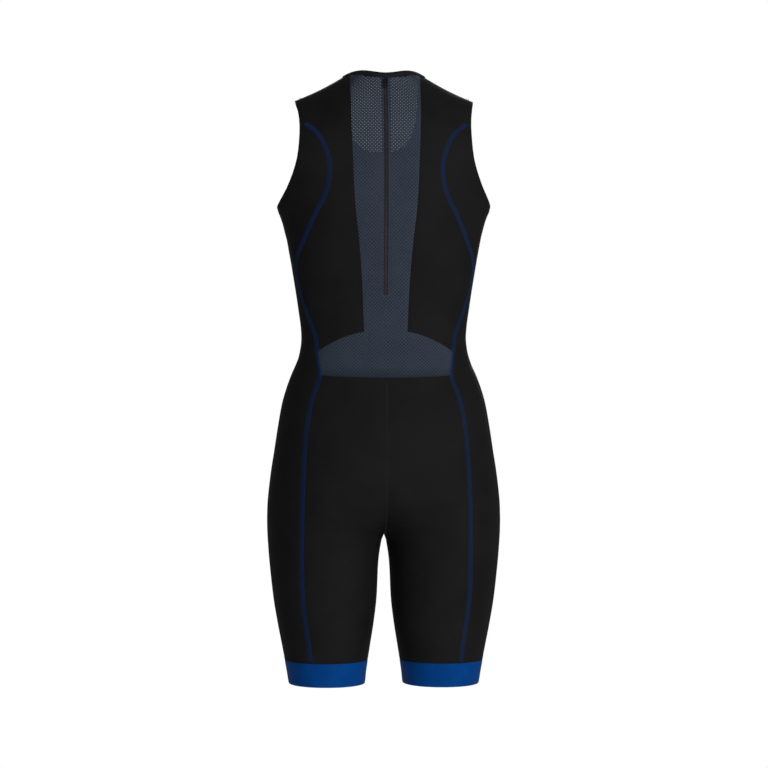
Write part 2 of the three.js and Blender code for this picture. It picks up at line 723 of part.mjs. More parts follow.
// The cells of a piece that runs over the centre, from both of its halves.
function bothHalves(halfCells) {
  return Object.values(SIDES).flatMap((side) => halfCells(side));
}

addPiece('back_mesh_panel', wall(bothHalves(backMeshCells), CLOTH_THICKNESS), MESH_NAVY);
addPiece('front_panel', wall(bothHalves(frontPanelCells), CLOTH_THICKNESS), BLACK);
Object.entries(SIDES).forEach(([name, side]) => {
  addPiece(`back_panel_${name}`, wall(backPanelCells(side), CLOTH_THICKNESS), BLACK);
  addPiece(`side_panel_${name}`, wall(sidePanelCells(side), CLOTH_THICKNESS), BLACK);
  addPiece(`shorts_back_${name}`, wall(shortsCells('back', side), CLOTH_THICKNESS), BLACK);
  addPiece(`shorts_front_${name}`, wall(shortsCells('front', side), CLOTH_THICKNESS), BLACK);
  addPiece(`hem_band_${name}`, wall(hemBandCells(side), BAND_THICKNESS, BAND_PROUD), BAND_BLUE);
});
addPiece('neck_binding', wall(bothHalves(bindingCells), BINDING_THICKNESS, BINDING_PROUD), BINDING_DARK);
addPiece('zip_tape', wall(bothHalves(zipCells), ZIP_THICKNESS, ZIP_PROUD), ZIP_GREY);
addZipSlider();

export default suit;
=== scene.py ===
import math

import bmesh
import bpy
import numpy as np
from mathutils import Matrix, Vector


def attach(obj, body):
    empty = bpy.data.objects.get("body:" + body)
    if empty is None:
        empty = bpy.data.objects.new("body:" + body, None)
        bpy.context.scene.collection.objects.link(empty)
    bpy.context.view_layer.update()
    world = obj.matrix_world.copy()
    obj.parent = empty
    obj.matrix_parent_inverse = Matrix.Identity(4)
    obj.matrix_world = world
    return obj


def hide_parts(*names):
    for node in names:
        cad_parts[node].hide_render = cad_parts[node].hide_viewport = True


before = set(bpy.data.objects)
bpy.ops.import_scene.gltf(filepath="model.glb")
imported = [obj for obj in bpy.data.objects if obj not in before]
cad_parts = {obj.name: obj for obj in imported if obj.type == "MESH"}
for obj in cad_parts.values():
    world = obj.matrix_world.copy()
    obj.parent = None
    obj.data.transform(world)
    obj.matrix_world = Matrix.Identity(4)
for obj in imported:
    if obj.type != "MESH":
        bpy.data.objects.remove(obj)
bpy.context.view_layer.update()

# Sizes are in millimetres until a mesh is made. +X is the wearer's right, +Y the front and
# +Z up. Heights in the tables are measured down from the neck edge.
METRES = 0.001
ORIGIN_DOWN = 30.0
CELL = 4.0
SEWN_GAP = 0.06
BINDING_HEIGHT = 8.0
PANEL_NECK = BINDING_HEIGHT + SEWN_GAP

NECK_HALF = 54.0
NECK_BACK = 53.0
NECK_RING_POWER = 2.4
NECK_DOWN = 8.4
NECK_HUMP = 3.6
NECK_HUMP_POWER = 1.7
NECK_CORNER_DOWN = 4.5
NECK_FRONT_DOWN = 112.0
NECK_SCOOP_POWER = 2 / 3.4
SCOOP_CORNER = 0.75

SHOULDER_HALF = 133.5
SHOULDER_DOWN = 45.0
SHOULDER_SAG = 2.5
SHOULDER_Y = -5.0
SHOULDER_ROLL = 75.0

SEAM_TOP = 78.0
UNDERARM = 203.0
SIDE_CLOSE_UP = 340.0
SIDE_FADE = 6
MESH_FOOT = 391.0
YOKE_SIDE = 420.0
WAIST = 455.0
WAIST_DIP = 3.5
BAND_TOP = 879.0
HEM = 914.0
ZIP_FOOT = 338.0
ZIP_STATIONS = {"across": (0, 1.2, 2.4, 2.9, 3.2, 4.6, 6.0),
                "lift": (0.3, 0.3, 0.3, 0.1, -1.35, -1.4, -1.4)}
SLIT_HALF = 3.3
ARCH_RISE = 0.35

SIDES = {"right": 1, "left": -1}


def table(columns, rows):
    """A table as one array for each named column."""
    return {name: np.array([row[i] for row in rows], float) for i, name in enumerate(columns)}


LEVELS = table(("down", "outer", "inner", "back", "front", "square"), [
    (0, 168, -168, 60, 50, 2.3),
    (50, 174, -174, 76, 66, 2.3),
    (100, 175, -175, 88, 81, 2.3),
    (150, 170, -170, 93, 98, 2.3),
    (203, 160, -160, 93, 112, 2.3),
    (231, 150.6, -150.6, 91, 116, 2.3),
    (256, 144.5, -144.5, 88, 115, 2.3),
    (304, 136, -136, 79, 104, 2.3),
    (352, 128.5, -128.5, 72, 91, 2.3),
    (394, 123.5, -123.5, 71, 85, 2.3),
    (424, 126.5, -126.5, 77, 86, 2.3),
    (448, 136, -136, 84, 88, 2.3),
    (472, 145, -145, 92, 90, 2.3),
    (496, 152, -152, 100, 92, 2.3),
    (532, 158.5, -158.5, 108, 94, 2.3),
    (568, 164, -160, 112, 94, 2.25),
    (600, 169, -138, 113, 93, 2.2),
    (640, 173.5, -88, 110, 91, 2.15),
    (665, 174.5, -46, 104, 89, 2.1),
    (680, 174.4, -19, 99, 88.5, 2.1),
    (692, 174, 0.2, 95.5, 88, 2.1),
    (705, 173.2, 4.3, 92, 87, 2.1),
    (733, 171, 8.3, 89, 86, 2.1),
    (787, 165, 11, 84, 83, 2.1),
    (823, 159, 15.2, 80, 80, 2.1),
    (859, 152, 20.9, 76, 77, 2.1),
    (895, 145, 26.5, 72, 73, 2.1),
    (914, 142, 28.4, 71, 72, 2.1),
])

SIDE_SEAMS = table(("down", "back", "front"), [
    (78, 127.4, 121.5),
    (98, 103, 100),
    (119, 90.5, 90),
    (140, 84, 85),
    (168, 84, 85),
    (193, 91, 91),
    (218, 104, 101),
    (245, 116, 111),
    (267, 126, 118.5),
    (283, 130.6, 121),
    (304, 131, 120),
    (330, 126, 115),
    (352, 119.5, 110),
    (373, 112, 105),
    (393, 104.5, 100),
    (420, 100.5, 97),
    (440, 98, 96.5),
    (455, 96.5, 97),
    (470, 101, 101),
    (488, 108, 107),
    (512, 113, 112),
    (547, 118, 117),
    (594, 121, 120),
    (672, 123.5, 122),
    (759, 123.5, 122),
    (798, 121, 120),
    (849, 114, 114),
    (879, 110, 110),
])

ARMHOLE = table(("down", "back", "front"), [
    (45, 133.5, 133.5),
    (60, 130, 127),
    (78, 127.4, 121.5),
    (98, 127, 118),
    (132, 130.2, 120.7),
    (155, 136.3, 128.8),
    (178, 145.6, 140.6),
    (190, 152.3, 149.8),
    (203, 160, 160),
])

MESH_EDGE = table(("down", "back"), [
    (9, 52.5),
    (93, 50.5),
    (202, 45.8),
    (250, 40.6),
    (289, 37),
    (335, 34.3),
    (391, 32),
])
MESH_FOOT_HALF = 32.0
MESH_TOP_HALF = 52.5


def mix(a, b, share):
    return a + (b - a) * share


def read(rows, column, down):
    """One column of a table at each height, as a smooth curve through its rows."""
    heights = rows["down"]
    values = rows[column]
    last = len(heights) - 1
    before = np.maximum(np.arange(last + 1) - 1, 0)
    after = np.minimum(np.arange(last + 1) + 1, last)
    slopes = (values[after] - values[before]) / (heights[after] - heights[before])
    i = np.clip(np.searchsorted(heights, down) - 1, 0, last - 1)
    span = heights[i + 1] - heights[i]
    u = np.clip((down - heights[i]) / span, 0, 1)
    leave = span * slopes[i] * u * (1 - u) ** 2
    arrive = span * slopes[i + 1] * u * u * (u - 1)
    return mix(values[i], values[i + 1], u * u * (3 - 2 * u)) + leave + arrive


def neck_hump(share):
    """How far the neck edge rises between the zip and its corner."""
    return NECK_HUMP * np.sin(math.pi * np.clip(share, 0, 1) ** NECK_HUMP_POWER)


def top_edge(x):
    """The height of the neck edge or the shoulder seam at a distance from the centre."""
    share = (x - NECK_HALF) / (SHOULDER_HALF - NECK_HALF)
    sag = np.where((share > 0) & (share < 1), SHOULDER_SAG * np.sin(math.pi * share), 0)
    shoulder = mix(NECK_CORNER_DOWN, SHOULDER_DOWN, share) + sag
    across = np.abs(x) / NECK_HALF
    neck = mix(NECK_DOWN, NECK_CORNER_DOWN, across ** 2) - neck_hump(across)
    return np.where(x < NECK_HALF, neck, shoulder)


def roll_over(x, y, down, is_back):
    """Near the top the cloth rolls over to the shoulder ridge and the neck ring."""
    drop = np.clip((down - top_edge(x)) / SHOULDER_ROLL, 0, 1)
    ring = 1 - np.minimum(np.abs(x) / NECK_HALF, 1) ** NECK_RING_POWER
    start = SHOULDER_Y - NECK_BACK * np.where(is_back & (x < NECK_HALF), ring, 0)
    return mix(start, y, np.sqrt(1 - (1 - drop) ** 2))


def section(down):
    outer = read(LEVELS, "outer", down)
    inner = np.maximum(read(LEVELS, "inner", down), -outer)
    power = 2 / read(LEVELS, "square", down)
    return (outer + inner) / 2, (outer - inner) / 2, power


def place(angle, down):
    """Points of the cloth on the wearer's right. The angle is 0 at the outer side, a quarter
    turn at the back, half a turn at the inner side and negative at the front."""
    middle, half, power = section(down)
    across = np.cos(angle)
    along = np.sin(angle)
    x = middle + half * np.sign(across) * np.abs(across) ** power
    is_back = along >= 0
    reach = np.where(is_back, -read(LEVELS, "back", down), read(LEVELS, "front", down))
    y = roll_over(x, reach * np.abs(along) ** power, down, is_back)
    return np.stack([x, y, ORIGIN_DOWN - down], axis=-1)


def unit(vectors):
    return vectors / np.maximum(np.linalg.norm(vectors, axis=-1, keepdims=True), 1e-12)


def facing(angle, down):
    """Which way the cloth faces. Along the shoulder ridge both sheets face straight up."""
    turn = 0.002
    step = 0.4
    around = place(angle + turn, down) - place(angle - turn, down)
    along = place(angle, down + step) - place(angle, down - step)
    normal = unit(np.cross(around, along))
    point = place(angle, down)
    ridge = (point[..., 0] > NECK_HALF - 0.01) & (down - top_edge(point[..., 0]) < 0.01)
    normal[..., 1] = np.where(ridge, 0, normal[..., 1])
    return unit(normal)


def spots(x, down, sheet):
    """Spots are pairs of an angle and a height, found from distances out from the centre."""
    x, down = np.broadcast_arrays(np.asarray(x, float), np.asarray(down, float))
    middle, half, power = section(down)
    share = np.clip((x - middle) / half, -1, 1)
    angle = np.arccos(np.sign(share) * np.abs(share) ** (1 / power))
    return np.stack([-angle if sheet == "front" else angle, down], axis=-1)


def nudge(line, length):
    """Spots moved sideways by a length along the cloth."""
    turn = 0.01
    angle, down = line[..., 0], line[..., 1]
    reach = np.linalg.norm(place(angle + turn, down) - place(angle - turn, down), axis=-1)
    return np.stack([angle + length * 2 * turn / reach, down], axis=-1)


def stations(start, end, length=None, count=None):
    """Even values from start to end, about one cell apart over a length."""
    if count is None:
        count = max(2, math.ceil((length or abs(end - start)) / CELL))
    return np.linspace(start, end, count + 1)


def resampled(line, count):
    """Spots at even steps along a line of spots, by their length over the cloth."""
    points = place(line[:, 0], line[:, 1])
    steps = np.linalg.norm(np.diff(points, axis=0), axis=1)
    lengths = np.concatenate([[0], np.cumsum(steps)])
    wanted = np.linspace(0, lengths[-1], count + 1)
    return np.stack([np.interp(wanted, lengths, line[:, k]) for k in (0, 1)], axis=-1)


def straight_row(left, right, count):
    return mix(left, right, np.linspace(0, 1, count + 1)[:, None])


def spread(left, right, first, last, fade=3):
    """A grid of spots between a left and a right line, bent to meet a first and a last row."""
    rows = np.linspace(0, 1, len(left))[:, None, None]
    columns = np.linspace(0, 1, len(first))[:, None]
    plain = mix(left[:, None], right[:, None], columns)
    start = first - mix(first[0], first[-1], columns)
    end = last - mix(last[0], last[-1], columns)
    return plain + (1 - rows) ** fade * start + rows ** fade * end


def neck_spots(share, offset, sheet):
    """The neck line from 0 at the centre back over 0.5 at the shoulder to 1 at the centre
    front, moved outward over the cloth by an offset."""
    half = NECK_HALF + offset
    ridge_down = top_edge(np.asarray(half))
    if sheet == "back":
        across = np.sin(share * math.pi)
        down = mix(NECK_DOWN + offset, ridge_down, across ** 2) - neck_hump(across)
        return spots(half * across, down, "back")
    turn = (share - 0.5) * math.pi
    depth = np.clip(np.sin(turn), 0, 1) ** NECK_SCOOP_POWER
    reach = np.clip(np.cos(turn), 0, 1) ** NECK_SCOOP_POWER
    return spots(half * reach, mix(ridge_down, NECK_FRONT_DOWN + offset, depth), "front")


def neck_share_at(x, offset):
    return math.asin(x / (NECK_HALF + offset)) / math.pi


def side_seam(down, sheet):
    return spots(read(SIDE_SEAMS, sheet, down), down, sheet)


def armhole(down, sheet):
    return spots(read(ARMHOLE, sheet, down), down, sheet)


def mesh_edge(down):
    return spots(read(MESH_EDGE, "back", down), down, "back")


def waist_line(x, shift=0.0):
    """The curved seam between the mesh yoke and the shorts, which dips at the centre."""
    side = float(read(SIDE_SEAMS, "back", np.array(WAIST)))
    return spots(x, WAIST + WAIST_DIP * (1 - (x / side) ** 2) + shift, "back")


def arch_line(count):
    """The arched top of the yoke, from the foot of the long mesh out to the side seam."""
    share = np.linspace(0, 1, count + 1)
    side = float(read(SIDE_SEAMS, "back", np.array(YOKE_SIDE)))
    down = mix(MESH_FOOT, YOKE_SIDE, ARCH_RISE * share + (1 - ARCH_RISE) * share ** 2)
    return spots(mix(MESH_FOOT_HALF, side, share), down, "back")


# Creases are soft troughs and ridges in the worn cloth: a sheet, the two ends out from the
# centre and down from the neck edge, how wide it is and how far it goes in.
CREASES = table(("sheet", "x0", "down0", "x1", "down1", "width", "depth"), [
    (1, 30, 668, 92, 648, 9, 1.5),
    (1, 28, 682, 84, 676, 7, 1.1),
    (1, -30, 666, -88, 644, 9, 1.4),
    (1, -26, 684, -78, 680, 7, 1.1),
    (1, 18, 640, 60, 612, 11, 1.2),
    (1, -16, 638, -62, 616, 11, 1.1),
    (1, 118, 436, 150, 452, 7, 1.0),
    (1, -116, 430, -150, 447, 7, 1.0),
    (1, 96, 404, 128, 398, 8, 0.9),
    (1, -98, 408, -128, 401, 8, 0.9),
    (1, 128, 236, 156, 214, 7, 1.2),
    (1, -126, 238, -156, 216, 7, 1.2),
    (1, 118, 262, 146, 240, 8, 0.8),
    (1, -120, 266, -146, 244, 8, 0.8),
    (1, 60, 772, 120, 786, 12, 0.6),
    (1, -64, 780, -124, 768, 12, 0.6),
    (-1, 28, 668, 96, 640, 9, 1.5),
    (-1, -28, 670, -94, 644, 9, 1.5),
    (-1, 24, 686, 84, 676, 7, 1.1),
    (-1, -24, 684, -84, 678, 7, 1.1),
    (-1, 20, 446, 88, 452, 10, 0.9),
    (-1, -24, 450, -90, 446, 10, 0.9),
    (-1, 112, 240, 150, 212, 8, 1.2),
    (-1, -112, 240, -150, 212, 8, 1.2),
    (-1, 40, 300, 100, 322, 14, 0.8),
    (-1, -44, 306, -104, 322, 14, 0.8),
])
CREASE_TURN = 12.0


def crease_depths(points):
    """How far the creases press in at each point. Each one fades out toward its ends."""
    x, y, z = points[..., 0], points[..., 1], points[..., 2]
    down = ORIGIN_DOWN - z
    back_share = np.clip(0.5 - y / (2 * CREASE_TURN), 0, 1)
    total = np.zeros(x.shape)
    for k in range(len(CREASES["depth"])):
        row = {name: column[k] for name, column in CREASES.items()}
        run_x, run_down = row["x1"] - row["x0"], row["down1"] - row["down0"]
        length = math.hypot(run_x, run_down)
        share = ((x - row["x0"]) * run_x + (down - row["down0"]) * run_down) / length ** 2
        aside = ((x - row["x0"]) * run_down - (down - row["down0"]) * run_x) / length
        bow = 0.06 * length * np.sin(math.pi * np.clip(share, 0, 1))
        hold = np.sin(math.pi * np.clip(share * 0.8 + 0.1, 0, 1)) ** 2
        hold = np.where((share < -0.125) | (share > 1.125), 0, hold)
        across = (aside - bow) / row["width"]
        trough = np.exp(-across ** 2) - 0.35 * np.exp(-(across - 1.9) ** 2)
        on_sheet = back_share if row["sheet"] > 0 else 1 - back_share
        total += row["depth"] * trough * hold * on_sheet
    return total


def lengths_around(angle, down, start):
    """Signed length over the cloth from a start angle, at each spot's own height."""
    steps = 28
    total = np.zeros(angle.shape)
    before = place(np.full(angle.shape, start), down)
    for k in range(1, steps + 1):
        here = place(mix(start, angle, k / steps), down)
        total += np.linalg.norm(here - before, axis=-1)
        before = here
    return total * np.sign(angle - start)


def lengths_down(angle, down):
    """Signed length over the cloth down from the waist, at each spot's own angle."""
    steps = 36
    total = np.zeros(angle.shape)
    before = place(angle, np.full(down.shape, WAIST))
    for k in range(1, steps + 1):
        here = place(angle, mix(WAIST, down, k / steps))
        total += np.linalg.norm(here - before, axis=-1)
        before = here
    return total * np.sign(down - WAIST)


def new_object(name, points, faces):
    mesh = bpy.data.meshes.new(name)
    mesh.from_pydata((points * METRES).tolist(), [], faces)
    mesh.validate()
    obj = bpy.data.objects.new(name, mesh)
    bpy.context.scene.collection.objects.link(obj)
    for polygon in mesh.polygons:
        polygon.use_smooth = True
    return obj


def face_out(quad_spots, side):
    """Whether a cell's corners run the way that makes it face out."""
    angle, down = quad_spots[..., 0], quad_spots[..., 1]
    area = (angle * np.roll(down, -1, axis=-1) - np.roll(angle, -1, axis=-1) * down).sum(axis=-1)
    return area * side > 0


def gather(grids, lift):
    """The points, normals, weave coordinates, lifts and cells of several grids of spots."""
    parts = {"point": [], "normal": [], "uv": [], "lift": []}
    quads = []
    base = 0
    for grid, side, start in grids:
        rows, columns = grid.shape[:2]
        angle, down = grid[..., 0].ravel(), grid[..., 1].ravel()
        point, normal = place(angle, down), facing(angle, down)
        point[:, 0] *= side
        normal[:, 0] *= side
        centre = np.abs(point[:, 0]) < 0.01
        point[centre, 0] = 0
        normal[centre, 0] = 0
        uv = np.stack([side * lengths_around(angle, down, start), lengths_down(angle, down)], axis=-1)
        index = np.arange(rows * columns).reshape(rows, columns)
        corners = (index[:-1, :-1], index[:-1, 1:], index[1:, 1:], index[1:, :-1])
        cell = np.stack([c.ravel() for c in corners], axis=-1)
        out = face_out(np.stack([angle[cell], down[cell]], axis=-1), side)
        cell = np.where(out[:, None], cell, cell[:, ::-1])
        quads.append(cell + base)
        base += rows * columns
        parts["point"].append(point)
        parts["normal"].append(unit(normal))
        parts["uv"].append(uv)
        parts["lift"].append(lift(grid).ravel() if callable(lift) else np.full(len(point), lift))
    return {name: np.concatenate(values) for name, values in parts.items()}, np.concatenate(quads)


def cloth(name, grids, thickness, lift=0.0, seam_dip=0.3):
    """A closed thin wall of cloth over grids of spots. Its edges dip a little at the seams."""
    data, quads = gather(grids, lift)
    keys = np.round(data["point"] * 100).astype(np.int64)
    _, first, welded = np.unique(keys, axis=0, return_index=True, return_inverse=True)
    quads = welded.reshape(-1)[quads]
    point, normal, uv, raised = (data[key][first] for key in ("point", "normal", "uv", "lift"))
    ends = set()
    for quad in quads.tolist():
        ends.update(zip(quad, quad[1:] + quad[:1]))
    rim = [(a, b) for a, b in ends if (b, a) not in ends]
    raised = raised.copy()
    raised[[a for a, _ in rim]] -= seam_dip
    raised -= crease_depths(point)
    outer = point + normal * raised[:, None]
    inner = outer - normal * thickness
    count = len(point)
    faces = quads.tolist()
    faces += [[count + k for k in reversed(quad)] for quad in faces]
    faces += [[b, a, count + a, count + b] for a, b in rim]
    obj = new_object(name, np.concatenate([outer, inner]), faces)
    inside = obj.data.attributes.new("inside", "FLOAT", "FACE")
    inside.data.foreach_set("value", np.repeat([0.0, 1.0], [len(quads), len(faces) - len(quads)]))
    layer = obj.data.uv_layers.new(name="weave")
    owner = np.zeros(len(obj.data.loops), np.int64)
    obj.data.loops.foreach_get("vertex_index", owner)
    layer.data.foreach_set("uv", (uv[owner % count] * METRES).ravel())
    obj.data.set_sharp_from_angle(angle=math.radians(50))
    return obj


def both(make):
    """Grids of a piece that runs over the centre, made for one side and mirrored."""
    return [(grid, side, start) for side in SIDES.values() for grid, start in make()]


def back_mesh_grids():
    half = SEWN_GAP / 2
    start = math.pi / 2
    columns = 12
    top = neck_spots(np.linspace(neck_share_at(SLIT_HALF, PANEL_NECK),
                                 neck_share_at(MESH_TOP_HALF, PANEL_NECK), columns + 1), PANEL_NECK, "back")
    plain = stations(MESH_FOOT, ZIP_FOOT)
    downs = np.concatenate([plain, stations(ZIP_FOOT, top[-1, 1])[1:]])
    edge = nudge(mesh_edge(downs), half)
    edge[-1] = top[-1]
    foot = spots(np.linspace(SLIT_HALF, MESH_FOOT_HALF, columns + 1), MESH_FOOT, "back")
    foot[-1] = edge[0]
    slit = spots(SLIT_HALF, downs, "back")
    slit[-1] = top[0]
    long = spread(slit, edge, foot, top)
    middle = np.stack([spots(0.0, plain, "back"), long[:len(plain), 0]], axis=1)
    arch = arch_line(18)
    arch[:, 1] += half
    arch[-1] = nudge(arch[-1], half)
    arch[0] = edge[0]
    yoke_top = np.concatenate([spots(np.array([0.0]), MESH_FOOT, "back"), foot, arch[1:]])
    side_x = float(read(SIDE_SEAMS, "back", np.array(WAIST)))
    xs = np.concatenate([[0.0], np.linspace(SLIT_HALF, MESH_FOOT_HALF, columns + 1),
                         np.linspace(MESH_FOOT_HALF, side_x, 19)[1:]])
    yoke_foot = waist_line(xs, -half)
    yoke_foot[-1] = nudge(yoke_foot[-1], half)
    downs = stations(WAIST, YOKE_SIDE, count=14)
    centre = spots(0.0, mix(yoke_foot[0, 1], MESH_FOOT, (WAIST - downs) / (WAIST - YOKE_SIDE)), "back")
    outer = nudge(side_seam(downs, "back"), half)
    outer[0] = yoke_foot[-1]
    outer[-1] = yoke_top[-1]
    yoke = spread(centre, outer, yoke_foot, yoke_top)
    return [(long, start), (middle, start), (yoke, start)]


def shoulder_line(sheet, count):
    x = np.linspace(NECK_HALF + PANEL_NECK, SHOULDER_HALF, count + 1)
    return spots(x, top_edge(x), sheet)


def back_panel_grid():
    half = SEWN_GAP / 2
    top = neck_spots(np.array(neck_share_at(MESH_TOP_HALF, PANEL_NECK)), PANEL_NECK, "back")
    downs = np.concatenate([stations(MESH_FOOT, ZIP_FOOT), stations(ZIP_FOOT, top[1])[1:]])
    inner = nudge(mesh_edge(downs), -half)
    inner[-1] = nudge(top, -half)
    foot = arch_line(20)
    foot[:, 1] -= half
    foot[0] = (inner[0, 0], inner[0, 1] - half)
    inner[0] = foot[0]
    arm_rows = 9
    seam = nudge(side_seam(stations(YOKE_SIDE, SEAM_TOP, count=len(downs) - 1 - arm_rows), "back"), half)
    arm = armhole(stations(SEAM_TOP, SHOULDER_DOWN, count=arm_rows), "back")[1:]
    outer = np.concatenate([seam, arm])
    foot[-1] = outer[0]
    shoulder = np.concatenate([inner[-1:], shoulder_line("back", 19)])
    return spread(inner, outer, foot, shoulder)


def front_panel_grids():
    half = SEWN_GAP / 2
    start = -math.pi / 2
    neck = neck_spots(np.linspace(0.5, 1, 401), PANEL_NECK, "front")
    split = round(400 * (SCOOP_CORNER - 0.5) / 0.5)
    strap_neck = resampled(neck[:split + 1], 30)
    scoop = resampled(neck[split:], 12)[::-1]
    # The seam is one run up to the armhole's foot, parted where the straps begin.
    strap_foot_down = 174.0
    seam_low = nudge(side_seam(stations(WAIST, strap_foot_down), "front"), -half)
    seam_low[0, 1] = WAIST - half
    seam_high = nudge(side_seam(stations(strap_foot_down, SEAM_TOP, count=22), "front"), -half)
    arm = armhole(stations(SEAM_TOP, SHOULDER_DOWN, count=8), "front")[1:]
    centre = spots(0.0, np.linspace(WAIST - half, scoop[0, 1], len(seam_low)), "front")
    columns = 20
    strap_foot = straight_row(scoop[-1], seam_low[-1], columns)
    foot = straight_row(centre[0], seam_low[0], len(scoop) - 1 + columns)
    body = spread(centre, seam_low, foot, np.concatenate([scoop, strap_foot[1:]]))
    strap = spread(strap_neck[::-1], np.concatenate([seam_high, arm]), strap_foot, shoulder_line("front", columns))
    return [(body, start), (strap, start)]


def side_panel_grids(side):
    half = SEWN_GAP / 2
    columns = 14
    grids = []
    for sheet, away in (("back", -half), ("front", half)):
        leg_downs = stations(WAIST, BAND_TOP - half)
        leg_seam = nudge(side_seam(leg_downs, sheet), away)
        leg_side = np.stack([np.zeros(len(leg_downs)), leg_downs], axis=-1)
        leg = mix(leg_seam[:, None], leg_side[:, None], np.linspace(0, 1, columns + 1)[:, None])
        downs = stations(WAIST, SEAM_TOP)
        seam = nudge(side_seam(downs, sheet), away)
        share = (downs - SEAM_TOP) / (SIDE_CLOSE_UP - SEAM_TOP)
        line_downs = np.where(share > 1, downs, mix(UNDERARM, SIDE_CLOSE_UP, share))
        line = np.stack([np.zeros(len(downs)), line_downs], axis=-1)
        edge = resampled(armhole(np.linspace(SEAM_TOP, UNDERARM, 401), sheet), columns)
        edge[0] = seam[-1]
        edge[-1] = line[-1]
        body = spread(seam, line, straight_row(seam[0], line[0], columns), edge, SIDE_FADE)
        grids += [(leg, side, 0.0), (body, side, 0.0)]
    return grids


def shorts_grid(sheet):
    half = SEWN_GAP / 2
    sign = 1 if sheet == "back" else -1
    downs = np.concatenate([stations(WAIST + half, 640), stations(640, 712, 28)[1:], stations(712, BAND_TOP - half)[1:]])
    inseam = nudge(np.stack([np.full(len(downs), math.pi), downs], axis=-1), -half)[:, 0]
    centre = spots(0.0, downs, "back")[:, 0]
    inner = np.stack([sign * np.minimum(centre, inseam), downs], axis=-1)
    outer = nudge(side_seam(downs, sheet), sign * half)
    columns = 30
    waist = straight_row(inner[0], outer[0], columns)
    if sheet == "back":
        side_x = float(read(SIDE_SEAMS, "back", np.array(WAIST)))
        waist = waist_line(np.linspace(0, side_x, columns + 1), half)
        waist[0, 0] = inner[0, 0]
        inner[0] = waist[0]
        waist[-1] = outer[0]
    hem = straight_row(inner[-1], outer[-1], columns)
    return spread(inner, outer, waist, hem)


def hem_band_grid():
    downs = stations(BAND_TOP + SEWN_GAP / 2, HEM, count=18)
    turns = np.linspace(0, 2 * math.pi, 121)
    return np.stack(np.meshgrid(turns, downs), axis=-1)


def binding_grids():
    offsets = np.linspace(0, BINDING_HEIGHT, 8)
    centre = neck_share_at(SEWN_GAP / 2, 0)
    rows = {"back": np.linspace(centre, 0.5, 37), "front": np.linspace(0.5, 1, 401)}
    grids = []
    for sheet, shares in rows.items():
        lines = [neck_spots(shares, offset, sheet) for offset in offsets]
        if sheet == "front":
            lines = [resampled(line, 64) for line in lines]
        grids.append((np.stack(lines), math.pi / 2))
    return grids


def zip_grid():
    downs = stations(ZIP_FOOT - SEWN_GAP, NECK_DOWN + PANEL_NECK)
    return spots(np.array(ZIP_STATIONS["across"])[None, :], downs[:, None], "back")


def zip_lift(grid):
    """The tape lies open between the edges of the mesh and tucks in under them."""
    return np.broadcast_to(np.array(ZIP_STATIONS["lift"])[None, :], grid.shape[:2])


def socket(shader, name, value):
    shader.inputs[name].default_value = value


def linear(red, green, blue):
    """A colour from 0 to 255 as the light it gives back."""
    shares = [channel / 255 for channel in (red, green, blue)]
    return [s / 12.92 if s <= 0.04045 else ((s + 0.055) / 1.055) ** 2.4 for s in shares] + [1.0]


